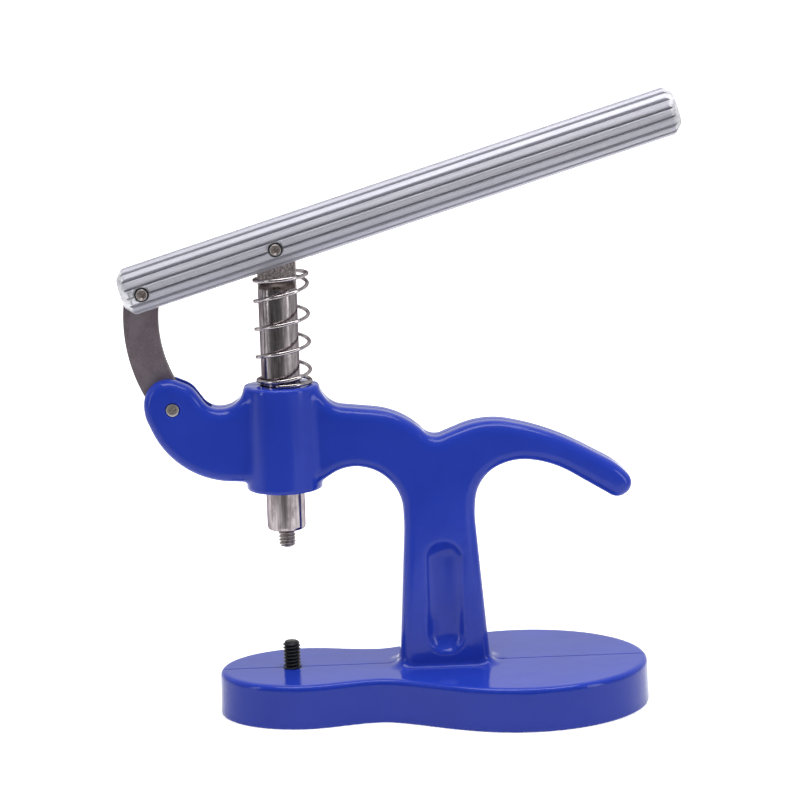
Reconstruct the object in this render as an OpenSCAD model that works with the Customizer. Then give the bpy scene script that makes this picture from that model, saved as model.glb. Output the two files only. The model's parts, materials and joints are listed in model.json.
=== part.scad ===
// Watch case press: a blue cast frame, a sprung plunger, and a fluted lever hinged on a swinging link.
// Millimetres. The origin is on the bench, under the plunger's axis. +X runs to the lever's free end,
// +Z is up, and the object is symmetric about the plane y = 0.

/* [Base] */
// Thickness of the base slab
base_h = 16; // [13:0.5:20]
// Half width of the base under the dies
front_half_w = 26; // [21:0.5:32]
// Half width of the base under the column
rear_half_w = 39.8; // [33:0.1:48]
// Half width of the waist between the two lobes
waist_half_w = 21.4; // [18:0.1:24]
// Distance from the plunger axis to the front end of the base
front_reach = 26.6; // [22:0.1:34]
// Distance from the plunger axis to the rear end of the base
rear_reach = 130.8; // [108:0.1:157]

/* [Frame] */
// Thickness of the column, the arm and the lobe
plate_t = 15.2; // [12.6:0.1:18.2]
// Distance from the plunger axis to the middle of the column
throat = 55.5; // [50:0.1:67]
// Width of the column at its narrowest
column_w = 26; // [21.5:0.1:31]
// How much wider the column is at its foot
column_flare = 6.5; // [5:0.1:8]
// Height of the arm's underside
arm_under_z = 87; // [80:0.5:92]
// Distance from the plunger axis to the tip of the horn
horn_reach = 125.7; // [118:0.1:140]
// Height of the middle of the horn's tip
horn_tip_z = 81; // [74:0.5:90]
// Radius of the boss that guides the plunger
boss_r = 13.9; // [11.6:0.1:16.7]
// Height of the boss's lower face
boss_bottom_z = 83.5; // [78:0.5:86]
// Height of the boss's upper face
boss_top_z = 121.5; // [119:0.5:124]
// Radius of the ball-nosed cutter that makes the column's scoop
scoop_r = 8.5; // [7.1:0.1:10.2]
// Depth of the scoop on each face of the column
scoop_depth = 3.4; // [2.8:0.1:4.1]

/* [Linkage] */
// Distance from the plunger axis to the link's lower pin
link_pivot_x = 39; // [37:0.1:41]
// Height of the link's lower pin
link_pivot_z = 114.8; // [113:0.1:117]
// Distance between the two pins in the handle
pin_spacing = 50; // [47:0.1:52]
// Height of the pin through the plunger
plunger_pin_z = 171.2; // [167:0.1:175]
// Rise of the handle above level at rest, in degrees
handle_rise = 16.65; // [13.9:0.05:20]
// Thickness of the link plate
link_t = 4.5; // [3.8:0.1:5.4]
// Width of the link plate
link_w = 12.5; // [10.5:0.1:14.5]
// Radius of the link's curved centre line
link_bend_r = 52; // [44:1:62]
// Radius of the two pins in the handle
handle_pin_r = 2.5; // [2.1:0.1:3]
// Radius of the pin in the frame
frame_pin_r = 2.3; // [1.9:0.1:2.7]

/* [Handle] */
// Radius over the flutes
handle_r = 8.7; // [8.1:0.1:10.4]
// Length of the handle
handle_len = 208.7; // [174:0.1:250.5]
// How far the handle runs past its end pin
handle_overhang = 7.8; // [7.4:0.1:9.4]
// Height of the handle's axis above its pins
handle_axis_lift = 1.55; // [1.3:0.05:1.85]
// Number of flutes
flutes = 16; // [13:1:19]
// Depth of a flute
flute_depth = 1.1; // [0.9:0.05:1.3]
// Share of the handle's surface left between the flutes
flute_land = 0.64; // [0.54:0.01:0.76]
// Bevel at each end of the handle
handle_bevel = 2.6; // [2.2:0.1:3.1]

/* [Plunger] */
// Radius of the plunger
plunger_r = 7; // [5.8:0.1:8.4]
// Height of the plunger's lower end, with the press open
plunger_bottom_z = 68.3; // [64:0.1:72]
// Height of the shoulder under the tongue
shoulder_z = 159; // [155:0.5:160]
// Thickness of the tongue
tongue_t = 5; // [4.2:0.1:6]

/* [Dies and spring] */
// Radius over the thread of both die studs
stud_r = 3.175; // [2.65:0.005:3.8]
// Length of the stud below the plunger
upper_stud_len = 6.5; // [5.4:0.1:7.8]
// Height of the lower stud above the base
lower_stud_len = 10; // [8:0.1:12]
// Radius of the lower screw's head
screw_head_r = 4.75; // [4.5:0.05:5.7]
// Height of the lower screw's head
screw_head_h = 6.35; // [5.3:0.05:7.6]
// Radius of the spring's wire
wire_r = 0.7; // [0.55:0.025:0.85]
// Gap between the plunger and the spring around it, if they were centred
spring_gap = 1.75; // [1.75:0.05:2.5]
// Number of open turns
open_turns = 4; // [3:1:5]
// How far the spring sits off the plunger's axis
spring_shift = 1.3; // [0:0.1:1.3]

/* [Fits] */
// Gap around a shaft or a pin that turns or slides
running_gap = 0.05; // [0.02:0.01:0.09]
// Gap on each side of a plate in its slot
slot_gap = 0.3; // [0.2:0.05:0.4]
// Free play of the link's upper eye along the handle
eye_play = 1.05; // [1.05:0.05:1.2]

/* [Hidden] */
$fn = 96;
arc_step = 6;
cut = 1;
paint_blue = [0.13, 0.19, 0.66];
bright_steel = [0.70, 0.69, 0.70];
plunger_pin = [0, plunger_pin_z];
link_pivot = [-link_pivot_x, link_pivot_z];
handle_end_pin = plunger_pin - pin_spacing * [cos(handle_rise), sin(handle_rise)];
link_len = norm(handle_end_pin - link_pivot);
eye_slack = 0.45;
slot_headroom = 0.35;
tongue_drop = 1.2;

function unit(v) = v / norm(v);

// The corner [x, z, radius] that stands a number of places after place i of a closed outline
function neighbour(corners, i, step) = corners[(i + step + len(corners)) % len(corners)];
function flat(c) = [c[0], c[1]];
function edge_len(corners, i) = norm(flat(neighbour(corners, i, 1)) - flat(neighbour(corners, i, 0)));
function half_angle(corners, i) =
    let (q = flat(neighbour(corners, i, 0)))
    acos(unit(flat(neighbour(corners, i, -1)) - q) * unit(flat(neighbour(corners, i, 1)) - q)) / 2;
// How far from its corner an arc leaves the straight edge
function tangent_len(corners, i) = neighbour(corners, i, 0)[2] / tan(half_angle(corners, i));
// Share of its radius that an arc keeps where two arcs meet on a short edge
function edge_share(corners, i) =
    min(1, edge_len(corners, i) / max(0.001, tangent_len(corners, i) + tangent_len(corners, i + 1)));

// The arc that rounds corner i
function corner_arc(corners, i) =
    let (q = flat(corners[i]), half = half_angle(corners, i),
         a = unit(flat(neighbour(corners, i, -1)) - q), b = unit(flat(neighbour(corners, i, 1)) - q),
         r = corners[i][2] * min(edge_share(corners, i), edge_share(corners, i - 1)),
         centre = q + unit(a + b) * r / sin(half),
         first = q + a * r / tan(half) - centre,
         last = q + b * r / tan(half) - centre,
         start = atan2(first[1], first[0]),
         turn = (atan2(last[1], last[0]) - start + 540) % 360 - 180,
         n = max(2, ceil(abs(turn) / arc_step)))
    [for (k = [0:n]) centre + r * [cos(start + turn * k / n), sin(start + turn * k / n)]];

// A closed outline from corners [x, z, radius]; a radius of 0 keeps the corner sharp
function rounded_outline(corners) =
    [for (i = [0:len(corners) - 1])
        each (corners[i][2] == 0 ? [flat(corners[i])] : corner_arc(corners, i))];

// Stands an outline drawn in x and z upright, centred on y = 0
module upright(thickness) {
    rotate([90, 0, 0]) linear_extrude(thickness, center = true) children();
}

// A cylinder along y at the point [x, z]
module cross_cylinder(at, r, length) {
    translate([at[0], 0, at[1]]) rotate([90, 0, 0]) cylinder(r = r, h = length, center = true);
}

// ---- frame casting ----

// The side view of the lobe, arm, horn and column, clockwise from the lobe's top left.
// Corners are placed from the pivot, the boss, the column and the horn's tip.
valley_z = boss_top_z - 7.5;
foot_z = base_h / 2;
foot_half = (column_w + column_flare) / 2;
column_left = throat - column_w / 2;
column_right = throat + column_w / 2;
horn_tip = [horn_reach - 5.2, horn_tip_z];
lobe_top = [
    [link_pivot[0] - 8, link_pivot[1] + 14.2, 9.5], [link_pivot[0] + 7, link_pivot[1] + 7.7, 9],
    [link_pivot[0] + 13, valley_z, 7],
];
arm_top = [
    [-17, valley_z, 9], [-boss_r + 1, boss_top_z - 1, 0], [boss_r - 1, boss_top_z - 1, 0],
    [18, valley_z - 0.5, 8.5], [throat - 12, valley_z - 3.5, 39],
    [throat - 2, horn_tip_z + 19, 7.5], [throat + 17, horn_tip_z + 26.5, 31],
    [throat + 41, horn_tip_z + 21, 92],
];
horn_end = [
    [horn_tip[0] + 0.6, horn_tip[1] + 7.2, 27], [horn_tip[0] + 7.1, horn_tip[1] - 0.3, 4.6],
    [horn_tip[0] - 0.1, horn_tip[1] - 5.5, 4.8],
];
under_horn = [
    [throat + 41.5, arm_under_z + 3, 43], [throat + 28, arm_under_z + 5, 25],
    [column_right + 1.5, arm_under_z - 0.5, 19.5], [column_right - 0.3, arm_under_z - 14, 60],
];
column_foot = [[throat + foot_half + 1.6, foot_z, 0], [throat - foot_half - 0.2, foot_z, 0]];
under_arm = [
    [column_left, arm_under_z - 19, 60], [column_left - 0.5, arm_under_z + 1, 18],
    [22.5, arm_under_z + 5, 16], [14.5, arm_under_z, 0], [-15, arm_under_z, 0],
];
lobe_low = [
    [link_pivot[0], arm_under_z + 1.5, 32], [link_pivot[0] - 11, link_pivot[1] - 1, 16.5],
];
side_corners = concat(
    lobe_top, arm_top, horn_end, under_horn, column_foot, under_arm, lobe_low);

// The base seen from above: half ovals at its ends, and a waist between its two widest places
widest_front_x = 4.5;
waist_x = 32.5;
widest_rear_x = 85;
waist_lean = 0.75;
function waist_blend(t) = (1 - cos(180 * t)) / 2;
half_base = concat(
    [for (a = [180:-arc_step:90])
        [widest_front_x + (front_reach + widest_front_x) * cos(a), front_half_w * sin(a)]],
    [for (t = [0.1:0.1:1])
        [widest_front_x + (waist_x - widest_front_x) * t,
         front_half_w + (waist_half_w - front_half_w) * waist_blend(t)]],
    [for (t = [0.05:0.05:0.95])
        [waist_x + (widest_rear_x - waist_x) * t,
         waist_half_w + (rear_half_w - waist_half_w) * waist_blend(pow(t, waist_lean))]],
    [for (a = [90:-arc_step:0])
        [widest_rear_x + (rear_reach - widest_rear_x) * cos(a), rear_half_w * sin(a)]]);
base_outline = concat(half_base,
    [for (i = [len(half_base) - 2:-1:1]) [half_base[i][0], -half_base[i][1]]]);

// Room around the screw's head, and how far the head sits inside the base
head_side_gap = 0.75;
head_sink = 0.6;
counterbore_r = screw_head_r + head_side_gap;
counterbore_h = screw_head_h + head_sink;
link_slot_t = link_t + 2 * slot_gap;
// How far the link's slot runs past the link towards the plunger, and below the link
link_slot_run = 7.5;
link_slot_drop = 1;
// More than the lobe reaches from the link's pin
lobe_reach = 20;
// Radius of the tapped hole and of the screw's thread inside it, halfway down the thread
half_thread = 0.4;
tapped_r = stud_r - half_thread;
scoop_low = 2 * base_h - 4;
scoop_high = arm_under_z - 31;

module scoop(side) {
    sink = plate_t / 2 + scoop_r - scoop_depth;
    translate([throat + 1, side * sink, 0]) {
        translate([0, 0, scoop_low]) cylinder(r = scoop_r, h = scoop_high - scoop_low);
        translate([0, 0, scoop_low]) sphere(r = scoop_r);
        translate([0, 0, scoop_high]) sphere(r = scoop_r);
    }
}

module frame_casting() {
    color(paint_blue) difference() {
        union() {
            linear_extrude(base_h) polygon(base_outline);
            upright(plate_t) polygon(rounded_outline(side_corners));
            translate([0, 0, boss_bottom_z]) cylinder(r = boss_r, h = boss_top_z - boss_bottom_z);
        }
        translate([0, 0, boss_bottom_z - cut])
            cylinder(r = plunger_r + running_gap, h = boss_top_z - boss_bottom_z + 2 * cut);
        for (side = [-1, 1]) scoop(side);
        // Slot for the link, open at the top and at the front of the lobe
        translate([link_pivot[0] - lobe_reach, -link_slot_t / 2,
                   link_pivot[1] - link_w / 2 - link_slot_drop])
            cube([lobe_reach + link_w / 2 + link_slot_run, link_slot_t, 2 * lobe_reach]);
        cross_cylinder(link_pivot, frame_pin_r, plate_t + 2 * cut);
        translate([0, 0, -cut]) cylinder(r = tapped_r, h = base_h + 2 * cut);
        translate([0, 0, -cut]) cylinder(r = counterbore_r, h = counterbore_h + cut);
    }
}

// ---- lower die screw: a socket screw fitted from below, whose end is the lower stud ----

socket_depth = screw_head_h / 2;
socket_r = screw_head_r * 0.58;
stud_bevel = 0.7;
head_bevel = 0.4;

module lower_die_screw() {
    top = base_h + lower_stud_len;
    color([0.07, 0.07, 0.08]) difference() {
        rotate_extrude() polygon([
            [0, counterbore_h - screw_head_h], [screw_head_r - head_bevel, counterbore_h - screw_head_h],
            [screw_head_r, counterbore_h - screw_head_h + head_bevel], [screw_head_r, counterbore_h],
            [tapped_r, counterbore_h], [tapped_r, base_h], [stud_r, base_h],
            [stud_r, top - stud_bevel], [stud_r - stud_bevel, top], [0, top]]);
        translate([0, 0, counterbore_h - screw_head_h - cut])
            cylinder(r = socket_r, h = socket_depth + cut, $fn = 6);
    }
}

// ---- plunger, with its tongue and its threaded lower stud ----

tongue_top_z = plunger_pin_z - tongue_drop;
shoulder_bevel = 1.2;
plunger_bevel = 0.8;

module plunger() {
    tongue_low_z = shoulder_z - shoulder_bevel - cut;
    color(bright_steel) difference() {
        union() {
            rotate_extrude() polygon([
                [0, plunger_bottom_z - upper_stud_len],
                [stud_r - stud_bevel, plunger_bottom_z - upper_stud_len],
                [stud_r, plunger_bottom_z - upper_stud_len + stud_bevel],
                [stud_r, plunger_bottom_z], [plunger_r - plunger_bevel, plunger_bottom_z],
                [plunger_r, plunger_bottom_z + plunger_bevel],
                [plunger_r, shoulder_z - shoulder_bevel], [plunger_r - shoulder_bevel, shoulder_z],
                [0, shoulder_z]]);
            intersection() {
                translate([0, 0, tongue_low_z])
                    cylinder(r = plunger_r, h = tongue_top_z + plunger_r + cut - tongue_low_z);
                upright(tongue_t) union() {
                    translate([-plunger_r, tongue_low_z])
                        square([2 * plunger_r, tongue_top_z - tongue_low_z]);
                    translate([0, tongue_top_z]) circle(r = plunger_r);
                }
            }
        }
        cross_cylinder(plunger_pin, handle_pin_r + running_gap, tongue_t + 2 * cut);
    }
}

// ---- return spring: one closed turn at each end, open turns between ----

spring_r = plunger_r + spring_gap + 2 * wire_r;
spring_mean_r = spring_r - wire_r;
spring_foot_gap = 0.05;
spring_head_gap = 0.15;
spring_low = boss_top_z + wire_r + spring_foot_gap;
// Lowest point of the handle above the spring's front edge, which lies under the handle's slot
handle_slot_t = max(tongue_t, link_t) + 2 * slot_gap;
spring_front_x = spring_shift - spring_r;
slot_edge_drop = sqrt(handle_r * handle_r - handle_slot_t * handle_slot_t / 4) - handle_axis_lift;
handle_under_z = plunger_pin_z + spring_front_x * tan(handle_rise) - slot_edge_drop / cos(handle_rise);
spring_high = handle_under_z - wire_r - spring_head_gap;
coil_gap = 0.1;
closed_pitch = 2 * wire_r + coil_gap;
steps_per_turn = 22;
wire_sides = 7;
spring_turns = open_turns + 2;
open_rise = spring_high - spring_low - 2 * closed_pitch;

// Height of the wire's centre after a number of turns
function coil_z(turn) =
    turn < 1 ? spring_low + closed_pitch * turn :
    turn > spring_turns - 1 ? spring_high - closed_pitch * (spring_turns - turn) :
    spring_low + closed_pitch + open_rise * (turn - 1) / open_turns;

module return_spring() {
    rings = spring_turns * steps_per_turn;
    points = [for (i = [0:rings]) let (turn = i / steps_per_turn, a = 360 * turn - 90)
        for (k = [0:wire_sides - 1]) let (b = 360 * k / wire_sides, d = spring_mean_r + wire_r * cos(b))
            [spring_shift + d * cos(a), d * sin(a), coil_z(turn) + wire_r * sin(b)]];
    walls = [for (i = [0:rings - 1]) for (k = [0:wire_sides - 1])
        let (m = (k + 1) % wire_sides, p = i * wire_sides, q = p + wire_sides)
            [p + k, p + m, q + m, q + k]];
    ends = [[for (k = [wire_sides - 1:-1:0]) k],
            [for (k = [0:wire_sides - 1]) rings * wire_sides + k]];
    color([0.75, 0.74, 0.74]) polyhedron(points = points, faces = concat(walls, ends), convexity = 10);
}

// ---- handle: a fluted rod, slotted from below for the link and the tongue ----

handle_start = -pin_spacing - handle_overhang;
slot_reach = plunger_r + 3.8;
slot_top = max(link_w / 2, plunger_r - tongue_drop) + slot_headroom;
// How far the handle's pins stop short of its crests
pin_sink = 0.3;
pin_len = 2 * (handle_r - pin_sink);

module handle_rod() {
    half_land = 180 / flutes * flute_land;
    rod = [for (i = [0:flutes - 1]) let (a = 360 * i / flutes)
        each [handle_r * [cos(a - half_land), sin(a - half_land)],
              handle_r * [cos(a + half_land), sin(a + half_land)],
              (handle_r - flute_depth) * [cos(a + 180 / flutes), sin(a + 180 / flutes)]]];
    translate([handle_start, 0, handle_axis_lift]) rotate([0, 90, 0]) intersection() {
        linear_extrude(handle_len) polygon(rod);
        // Bevels both ends, and stays clear of the crests between them
        rotate_extrude() polygon([
            [0, 0], [handle_r - handle_bevel, 0], [handle_r + cut, handle_bevel + cut],
            [handle_r + cut, handle_len - handle_bevel - cut], [handle_r - handle_bevel, handle_len],
            [0, handle_len]]);
    }
}

module handle() {
    color([0.72, 0.72, 0.76])
    translate([plunger_pin[0], 0, plunger_pin[1]]) rotate([0, -handle_rise, 0]) difference() {
        handle_rod();
        translate([handle_start - cut, -handle_slot_t / 2, -2 * handle_r])
            cube([slot_reach - handle_start + cut, handle_slot_t, 2 * handle_r + slot_top]);
        for (x = [0, -pin_spacing]) cross_cylinder([x, 0], handle_pin_r, 2 * handle_r + 2 * cut);
    }
}

// ---- link: a plate bent to an arc, whose upper eye has play across the link ----

link_dir = unit(handle_end_pin - link_pivot);
link_side = [link_dir[1], -link_dir[0]];
bend_centre = (handle_end_pin + link_pivot) / 2
    + link_side * sqrt(link_bend_r * link_bend_r - link_len * link_len / 4);

module link() {
    wedge = 2 * link_bend_r;
    color([0.36, 0.33, 0.34]) difference() {
        upright(link_t) {
            intersection() {
                difference() {
                    translate(bend_centre) circle(r = link_bend_r + link_w / 2, $fn = 180);
                    translate(bend_centre) circle(r = link_bend_r - link_w / 2, $fn = 180);
                }
                polygon([bend_centre, bend_centre + wedge * unit(link_pivot - bend_centre),
                         bend_centre + wedge * unit(handle_end_pin - bend_centre)]);
            }
            for (pin = [link_pivot, handle_end_pin]) translate(pin) circle(r = link_w / 2);
        }
        cross_cylinder(link_pivot, frame_pin_r + running_gap, link_t + 2 * cut);
        for (side = [-1, 1])
            cross_cylinder(handle_end_pin + side * eye_play * link_side,
                           handle_pin_r + eye_slack, link_t + 2 * cut);
        translate([handle_end_pin[0], 0, handle_end_pin[1]])
            rotate([0, -atan2(link_side[1], link_side[0]), 0])
                cube([2 * eye_play, link_t + 2 * cut, 2 * (handle_pin_r + eye_slack)], center = true);
    }
}

// ---- pins, each with a small cup turned into both ends ----

cup_depth = 0.5;
// Share of the pin's radius at the bottom of the cup
cup_share = 0.45;

module pin(at, r, length) {
    color([0.45, 0.41, 0.40]) difference() {
        cross_cylinder(at, r, length);
        for (side = [-1, 1])
            translate([at[0], side * (length / 2 - cup_depth), at[1]]) rotate([-side * 90, 0, 0])
                cylinder(r1 = r * cup_share, r2 = r * cup_share + 2 * cup_depth, h = 2 * cup_depth);
    }
}

module handle_link_pin() {
    pin(handle_end_pin, handle_pin_r, pin_len);
}

module handle_plunger_pin() {
    pin(plunger_pin, handle_pin_r, pin_len);
}

module link_frame_pin() {
    pin(link_pivot, frame_pin_r, plate_t);
}

frame_casting();
lower_die_screw();
plunger();
return_spring();
handle();
link();
handle_link_pin();
handle_plunger_pin();
link_frame_pin();
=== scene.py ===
"""Watch case press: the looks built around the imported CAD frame.

Lengths are millimetres until a mesh is made; meshes are metres, in the frame's own axes.
"""

import json
import math

import bpy
import numpy as np
from mathutils import Euler, Matrix, Vector


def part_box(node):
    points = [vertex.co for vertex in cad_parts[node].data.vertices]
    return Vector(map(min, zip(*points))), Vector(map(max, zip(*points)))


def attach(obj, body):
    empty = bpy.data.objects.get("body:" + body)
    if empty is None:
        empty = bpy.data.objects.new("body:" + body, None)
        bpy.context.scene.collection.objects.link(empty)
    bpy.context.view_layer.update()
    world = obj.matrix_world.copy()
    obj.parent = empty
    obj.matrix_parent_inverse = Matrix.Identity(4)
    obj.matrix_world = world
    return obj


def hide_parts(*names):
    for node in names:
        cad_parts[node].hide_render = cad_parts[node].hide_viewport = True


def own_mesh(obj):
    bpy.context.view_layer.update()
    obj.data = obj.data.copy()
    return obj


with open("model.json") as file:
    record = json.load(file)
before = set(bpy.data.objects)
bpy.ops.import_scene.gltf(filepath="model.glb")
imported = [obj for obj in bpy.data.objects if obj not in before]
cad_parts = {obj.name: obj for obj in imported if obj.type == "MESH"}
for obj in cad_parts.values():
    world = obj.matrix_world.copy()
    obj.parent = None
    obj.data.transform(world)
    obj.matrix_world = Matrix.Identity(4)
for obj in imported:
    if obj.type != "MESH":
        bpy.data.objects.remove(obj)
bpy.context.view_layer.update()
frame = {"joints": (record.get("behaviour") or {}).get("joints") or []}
MM = 0.001
JOINTS = {j["name"]: j for j in frame["joints"]}


def extent(node):
    """Lowest and highest corner of a CAD node, in millimetres."""
    low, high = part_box(node)
    return np.array(low) / MM, np.array(high) / MM


# ---------------------------------------------------------------- dimensions
PLUNGER_PIN = np.array(JOINTS["handle_pivot"]["pos_m"]) / MM
LINK_PIVOT = np.array(JOINTS["link_pivot"]["pos_m"]) / MM
END_PIN = np.mean(extent("handle_link_pin"), axis=0)
ARM = PLUNGER_PIN - END_PIN
HANDLE_RISE = math.atan2(ARM[2], ARM[0])
PIN_SPACING = math.hypot(ARM[0], ARM[2])

CASTING_LOW, CASTING_HIGH = extent("frame_casting")
FRONT_REACH, REAR_REACH = 26.6, CASTING_HIGH[0]
FRONT_HALF_W, WAIST_HALF_W, REAR_HALF_W = 26.0, 21.4, CASTING_HIGH[1]
WIDEST_FRONT_X, WAIST_X, WIDEST_REAR_X, WAIST_LEAN = 4.5, 32.5, 85.0, 0.75
BASE_H = 16.0
PLATE_T = 15.2
THROAT = 55.5
COLUMN_W, COLUMN_FLARE = 26.0, 6.5
FOOT_HALF = (COLUMN_W + COLUMN_FLARE) / 2
ARM_UNDER_Z = 87.0
HORN_TIP = np.array([120.5, 81.0])
BOSS_R, BOSS_BOTTOM_Z, BOSS_TOP_Z = 13.9, 83.5, 121.5
SCOOP_R, SCOOP_DEPTH = 8.5, 3.4

LINK_T, LINK_W, LINK_BEND_R = 4.5, 12.5, 52.0
HANDLE_PIN_R, FRAME_PIN_R = 2.5, 2.3
HANDLE_R, HANDLE_LEN, HANDLE_OVERHANG, HANDLE_AXIS_LIFT = 8.7, 208.7, 7.8, 1.55
FLUTES, FLUTE_DEPTH, FLUTE_LAND, HANDLE_BEVEL = 16, 1.1, 0.64, 2.8
PLUNGER_R, SHOULDER_Z, TONGUE_T = 7.0, 159.0, 5.0
STUD_R, THREAD_PITCH = 3.175, 1.27
THREAD_ROOT = STUD_R - 0.66
UPPER_STUD_LEN = 6.5
SCREW_HEAD_R, SCREW_HEAD_H = 4.75, 6.35
COUNTERBORE_R, COUNTERBORE_H = SCREW_HEAD_R + 0.75, SCREW_HEAD_H + 0.6
WIRE_R, SPRING_SHIFT = 0.7, 1.3
RUN_GAP, SLOT_GAP = 0.05, 0.3
EYE_SLACK, EYE_PLAY = 0.45, 1.05


# ---------------------------------------------------------------- mesh helpers
def make_object(name, points, faces, sharp_deg=38):
    """A smooth-shaded mesh object from points in millimetres."""
    mesh = bpy.data.meshes.new(name)
    mesh.from_pydata((np.asarray(points, float) * MM).tolist(), [], [list(map(int, f)) for f in faces])
    mesh.validate()
    obj = bpy.data.objects.new(name, mesh)
    bpy.context.scene.collection.objects.link(obj)
    shade(obj, sharp_deg)
    return obj


def shade(obj, sharp_deg):
    obj.data.polygons.foreach_set("use_smooth", [True] * len(obj.data.polygons))
    obj.data.set_sharp_from_angle(angle=math.radians(sharp_deg))


def combine(obj, others, operation, sharp_deg=38):
    """Cuts, joins or intersects obj with other closed meshes, which are used up."""
    for other in others:
        step = obj.modifiers.new("combine", "BOOLEAN")
        step.operation = operation
        step.solver = "MANIFOLD"
        step.object = other
    bpy.context.view_layer.update()
    result = bpy.data.meshes.new_from_object(obj.evaluated_get(bpy.context.evaluated_depsgraph_get()))
    obj.modifiers.clear()
    obj.data = result
    for other in others:
        bpy.data.objects.remove(other)
    shade(obj, sharp_deg)
    return obj


def cut(obj, *others, sharp_deg=38):
    return combine(obj, others, "DIFFERENCE", sharp_deg)


def shells(rings):
    """Faces that skin equal rings of points one after another and cap both ends."""
    count, size = len(rings), len(rings[0])
    faces = []
    for i in range(count - 1):
        for k in range(size):
            m = (k + 1) % size
            faces.append([i * size + k, i * size + m, (i + 1) * size + m, (i + 1) * size + k])
    faces.append(list(range(size))[::-1])
    faces.append([(count - 1) * size + k for k in range(size)])
    return np.concatenate(rings), faces


def turned(name, profile, segments=96, sharp_deg=38):
    """A solid of revolution about +Z from (radius, height) pairs, lowest first."""
    angles = np.arange(segments) * 2 * math.pi / segments
    rings = [np.stack([max(r, 1e-3) * np.cos(angles), max(r, 1e-3) * np.sin(angles),
                       np.full(segments, float(z))], axis=1) for r, z in profile]
    points, faces = shells(rings)
    return make_object(name, points, faces, sharp_deg)


def slab(name, outline, half_t, bevel, sharp_deg=20):
    """A plate across Y from a closed counter-clockwise (x, z) outline, with both rims rounded."""
    outline = np.asarray(outline, float)
    ahead, behind = np.roll(outline, -1, axis=0), np.roll(outline, 1, axis=0)
    tangent = ahead - behind
    tangent /= np.linalg.norm(tangent, axis=1)[:, None]
    inward = np.stack([-tangent[:, 1], tangent[:, 0]], axis=1)
    rings = []
    quarter = np.radians([0, 30, 60, 90])
    steps = [(-half_t + bevel * (1 - math.sin(a)), bevel * (1 - math.cos(a))) for a in quarter[::-1]]
    steps += [(-h, inset) for h, inset in steps[::-1]]
    for height, inset in steps:
        flat = outline + inward * inset
        rings.append(np.stack([flat[:, 0], np.full(len(flat), height), flat[:, 1]], axis=1))
    points, faces = shells(rings)
    return make_object(name, points, [f[::-1] for f in faces], sharp_deg)


def block(name, low, high):
    """A box between two corners."""
    x0, y0, z0 = low
    x1, y1, z1 = high
    points = [(x, y, z) for x in (x0, x1) for y in (y0, y1) for z in (z0, z1)]
    faces = [(0, 1, 3, 2), (4, 6, 7, 5), (0, 4, 5, 1), (2, 3, 7, 6), (0, 2, 6, 4), (1, 5, 7, 3)]
    return make_object(name, points, faces)


def place(obj, matrix):
    """Moves an object's mesh and leaves the object itself at the origin."""
    obj.data.transform(matrix)
    return obj


def across(obj, x, z):
    """Lays a solid turned about Z along Y, with its axis through (x, z)."""
    return place(obj, Matrix.Translation(Vector((x, 0, z)) * MM) @ Matrix.Rotation(math.pi / 2, 4, "X"))


def in_handle(obj):
    """Moves a solid drawn in the handle's own axes, whose origin is the plunger pin, to its rest pose."""
    return place(obj, Matrix.Translation(Vector(PLUNGER_PIN) * MM) @ Matrix.Rotation(-HANDLE_RISE, 4, "Y"))


def arc(centre, radius, start_deg, end_deg, steps):
    """Points along a circle, both ends included."""
    angles = np.radians(np.linspace(start_deg, end_deg, steps))
    return [(centre[0] + radius * math.cos(a), centre[1] + radius * math.sin(a)) for a in angles]


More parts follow.
